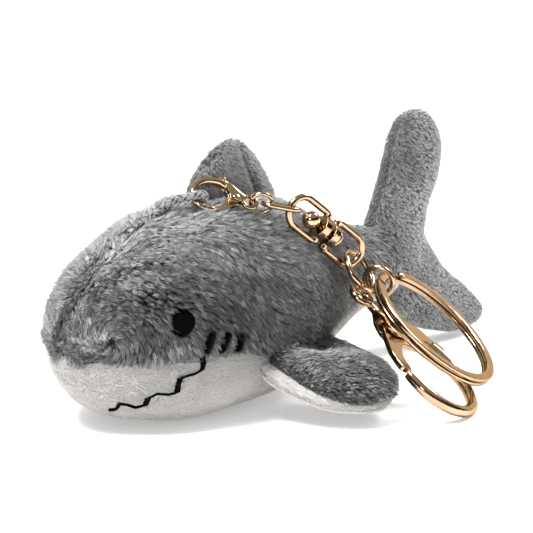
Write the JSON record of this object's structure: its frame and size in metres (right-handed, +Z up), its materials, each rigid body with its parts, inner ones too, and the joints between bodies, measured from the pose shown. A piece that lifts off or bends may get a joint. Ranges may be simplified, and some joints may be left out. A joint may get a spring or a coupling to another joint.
{
  "type": "plush shark key ring",
  "caption": "Soft plush shark with stuffed fins and tail, hung from a cord loop on a chain with a swivel, a split key ring and lobster clasps.",
  "frame": {"origin": "middle of the flat resting face under the belly", "axes": "+Z up, +X from the shark's nose to its tail, -Y towards the shark's left side, where the key ring lies"},
  "size_m": [0.1207, 0.0829, 0.0514],
  "materials": {
    "grey_plush": "short pile plush",
    "white_plush": "short pile plush",
    "filling": "fibre filling",
    "black_thread": "satin thread",
    "braided_cord": "braided silver cord",
    "plated_metal": "polished champagne gold plate"
  },
  "bodies": {
    "plush_body": {"body_stuffing": "filling", "back_panel_left": "grey_plush", "back_panel_right": "grey_plush", "belly_panel": "white_plush", "left_eye_embroidery": "black_thread", "left_gill_stitch_1": "black_thread", "left_gill_stitch_2": "black_thread", "left_gill_stitch_3": "black_thread", "left_mouth_stitch": "black_thread", "right_eye_embroidery": "black_thread", "right_gill_stitch_1": "black_thread", "right_gill_stitch_2": "black_thread", "right_gill_stitch_3": "black_thread", "right_mouth_stitch": "black_thread", "cord_loop": "braided_cord"},
    "dorsal_fin": {"dorsal_fin_left_panel": "grey_plush", "dorsal_fin_right_panel": "grey_plush", "dorsal_fin_stuffing": "filling"},
    "tail_fin": {"tail_fin_left_panel": "grey_plush", "tail_fin_right_panel": "grey_plush", "tail_fin_stuffing": "filling"},
    "left_pectoral_fin": {"left_pectoral_top_panel": "grey_plush", "left_pectoral_bottom_panel": "white_plush", "left_pectoral_stuffing": "filling"},
    "right_pectoral_fin": {"right_pectoral_top_panel": "grey_plush", "right_pectoral_bottom_panel": "white_plush", "right_pectoral_stuffing": "filling"},
    "small_clasp": {"small_clasp_body": "plated_metal", "small_clasp_pin": "plated_metal"},
    "small_clasp_lever": {"small_clasp_lever": "plated_metal"},
    "small_jump_ring": {"small_jump_ring": "plated_metal"},
    "oval_link": {"oval_link": "plated_metal"},
    "swivel_upper": {"swivel_upper_frame": "plated_metal"},
    "swivel_lower": {"swivel_lower_frame": "plated_metal", "swivel_rivet": "plated_metal"},
    "large_jump_ring": {"large_jump_ring": "plated_metal"},
    "connector_ring": {"connector_ring": "plated_metal"},
    "split_ring": {"split_key_ring": "plated_metal"},
    "large_clasp": {"large_clasp_body": "plated_metal", "large_clasp_pin": "plated_metal"},
    "large_clasp_lever": {"large_clasp_lever": "plated_metal"}
  },
  "joints": [
    {"name": "dorsal_fin_bend", "type": "hinge", "parent": "plush_body", "child": "dorsal_fin", "pos_m": [0.0115, 0, 0.0385], "axis": [1, 0, 0], "range_deg": [-12, 6], "stiffness_Nm_per_rad": 0.004},
    {"name": "tail_fin_bend", "type": "hinge", "parent": "plush_body", "child": "tail_fin", "pos_m": [0.0545, 0, 0.02], "axis": [0, 0, 1], "range_deg": [-11, 11], "stiffness_Nm_per_rad": 0.008},
    {"name": "left_pectoral_flap", "type": "hinge", "parent": "plush_body", "child": "left_pectoral_fin", "pos_m": [0.015, -0.0125, 0.0122], "axis": [1, 0, 0], "range_deg": [-12, 6], "stiffness_Nm_per_rad": 0.006},
    {"name": "right_pectoral_flap", "type": "hinge", "parent": "plush_body", "child": "right_pectoral_fin", "pos_m": [0.015, 0.0125, 0.0122], "axis": [1, 0, 0], "range_deg": [-6, 14], "stiffness_Nm_per_rad": 0.006},
    {"name": "small_clasp_swing", "type": "hinge", "parent": "plush_body", "child": "small_clasp", "pos_m": [-0.0015, -0.00456, 0.04084], "axis": [-0.4865, -0.4978, -0.718], "range_deg": [0, 40]},
    {"name": "small_clasp_lever_turn", "type": "hinge", "parent": "small_clasp", "child": "small_clasp_lever", "pos_m": [0.00563, -0.00772, 0.0402], "axis": [0.2538, 0.7058, -0.6614], "range_deg": [0, 22], "stiffness_Nm_per_rad": 0.0005, "springref_deg": -11.46},
    {"name": "small_jump_ring_swing", "type": "hinge", "parent": "small_clasp", "child": "small_jump_ring", "pos_m": [0.00946, -0.00977, 0.03949], "axis": [-0.4865, -0.4978, -0.718], "range_deg": [0, 30]},
    {"name": "oval_link_swing", "type": "hinge", "parent": "small_jump_ring", "child": "oval_link", "pos_m": [0.01189, -0.0117, 0.03986], "axis": [-0.414, -0.1692, 0.8944], "range_deg": [0, 14]},
    {"name": "swivel_swing", "type": "hinge", "parent": "oval_link", "child": "swivel_upper", "pos_m": [0.01584, -0.0149, 0.03805], "axis": [-0.6483, -0.7605, 0.037], "range_deg": [0, 40]},
    {"name": "swivel_spin", "type": "hinge", "parent": "swivel_upper", "child": "swivel_lower", "pos_m": [0.02275, -0.01545, 0.03305], "axis": [-0.7823, 0.1551, 0.6033], "range_deg": [0, 80]},
    {"name": "large_jump_ring_swing", "type": "hinge", "parent": "swivel_lower", "child": "large_jump_ring", "pos_m": [0.03057, -0.017, 0.02702], "axis": [0.5842, -0.1531, 0.797], "range_deg": [-9, 20]},
    {"name": "connector_ring_swing", "type": "hinge", "parent": "large_jump_ring", "child": "connector_ring", "pos_m": [0.03344, -0.01809, 0.02232], "axis": [-0.4127, -0.6433, -0.6449], "range_deg": [0, 9]},
    {"name": "split_ring_swing", "type": "hinge", "parent": "connector_ring", "child": "split_ring", "pos_m": [0.03462, -0.02236, 0.02169], "axis": [-0.0708, -0.3144, 0.9467], "range_deg": [0, 16]},
    {"name": "large_clasp_swing", "type": "hinge", "parent": "large_jump_ring", "child": "large_clasp", "pos_m": [0.02855, -0.01977, 0.01991], "axis": [0.253, -0.5623, 0.7872], "range_deg": [-20, 30]},
    {"name": "large_clasp_lever_turn", "type": "hinge", "parent": "large_clasp", "child": "large_clasp_lever", "pos_m": [0.02834, -0.0274, 0.01453], "axis": [0.253, -0.5623, 0.7872], "range_deg": [0, 22], "stiffness_Nm_per_rad": 0.004, "springref_deg": -11.46}
  ]
}
